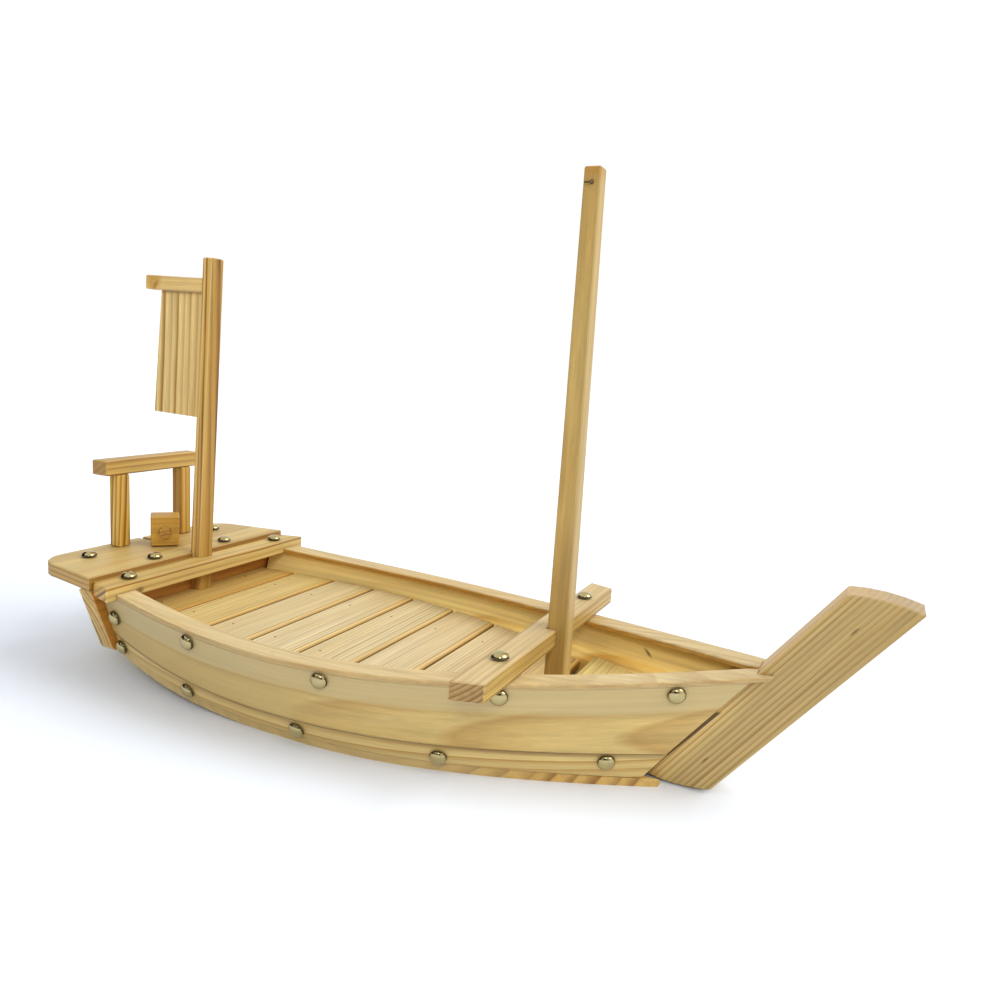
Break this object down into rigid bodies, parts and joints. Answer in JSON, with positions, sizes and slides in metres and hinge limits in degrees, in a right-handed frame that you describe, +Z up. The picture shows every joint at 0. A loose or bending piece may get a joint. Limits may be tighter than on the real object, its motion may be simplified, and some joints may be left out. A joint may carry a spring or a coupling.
{
  "type": "sushi boat",
  "caption": "Planked wooden serving boat with a flat slatted floor between two thwarts, a raked stem, a square mast, a small board sail and a stern deck with a gate.",
  "frame": {"origin": "on the table under the middle of the boat's overall length and beam", "axes": "+X towards the bow, +Y to port, +Z up"},
  "size_m": [0.5976, 0.2396, 0.3718],
  "materials": {
    "pine": "planed, clear matt oil",
    "pine_shade": "planed, clear matt oil",
    "brass": "polished domes"
  },
  "bodies": {
    "hull": {"bottom_panel": "pine_shade", "bow_board": "pine", "floor_bearer_port": "pine_shade", "floor_bearer_starboard": "pine_shade", "floor_slat_1": "pine", "floor_slat_2": "pine", "floor_slat_3": "pine", "floor_slat_4": "pine", "floor_slat_5": "pine", "floor_slat_6": "pine", "floor_slat_7": "pine", "floor_slat_8": "pine", "gate_crossbar": "pine", "gate_post_port": "pine", "gate_post_starboard": "pine", "lower_plank_port": "pine", "lower_plank_starboard": "pine", "mast_thwart": "pine", "nail_deck_aft_port": "brass", "nail_deck_aft_starboard": "brass", "nail_deck_fore_port": "brass", "nail_deck_fore_starboard": "brass", "nail_lower_port_1": "brass", "nail_lower_port_2": "brass", "nail_lower_port_3": "brass", "nail_lower_port_4": "brass", "nail_lower_port_5": "brass", "nail_lower_starboard_1": "brass", "nail_lower_starboard_2": "brass", "nail_lower_starboard_3": "brass", "nail_lower_starboard_4": "brass", "nail_lower_starboard_5": "brass", "nail_mast_thwart_port": "brass", "nail_mast_thwart_starboard": "brass", "nail_stern_thwart_port": "brass", "nail_stern_thwart_starboard": "brass", "nail_upper_port_1": "brass", "nail_upper_port_2": "brass", "nail_upper_port_3": "brass", "nail_upper_port_4": "brass", "nail_upper_port_5": "brass", "nail_upper_starboard_1": "brass", "nail_upper_starboard_2": "brass", "nail_upper_starboard_3": "brass", "nail_upper_starboard_4": "brass", "nail_upper_starboard_5": "brass", "rail_port": "pine", "rail_starboard": "pine", "stem": "pine", "stern_deck": "pine", "stern_thwart": "pine", "transom": "pine_shade", "upper_plank_port": "pine", "upper_plank_starboard": "pine"},
    "mast": {"mast": "pine"},
    "sail_rig": {"sail_post": "pine_shade", "yard": "pine_shade", "sail_board": "pine_shade"},
    "swivel": {"swivel_block": "pine_shade", "swivel_peg": "pine"}
  },
  "joints": [
    {"name": "mast_lift", "type": "slide", "parent": "hull", "child": "mast", "axis": [-0.007, 0, 1], "range_m": [0, 0.085]},
    {"name": "sail_rig_lift", "type": "slide", "parent": "hull", "child": "sail_rig", "axis": [0.0227, 0.0262, 0.9994], "range_m": [0, 0.056]},
    {"name": "block_swivel", "type": "hinge", "parent": "hull", "child": "swivel", "pos_m": [-0.266, 0, 0.0825], "axis": [0, 0, 1], "continuous": true}
  ]
}
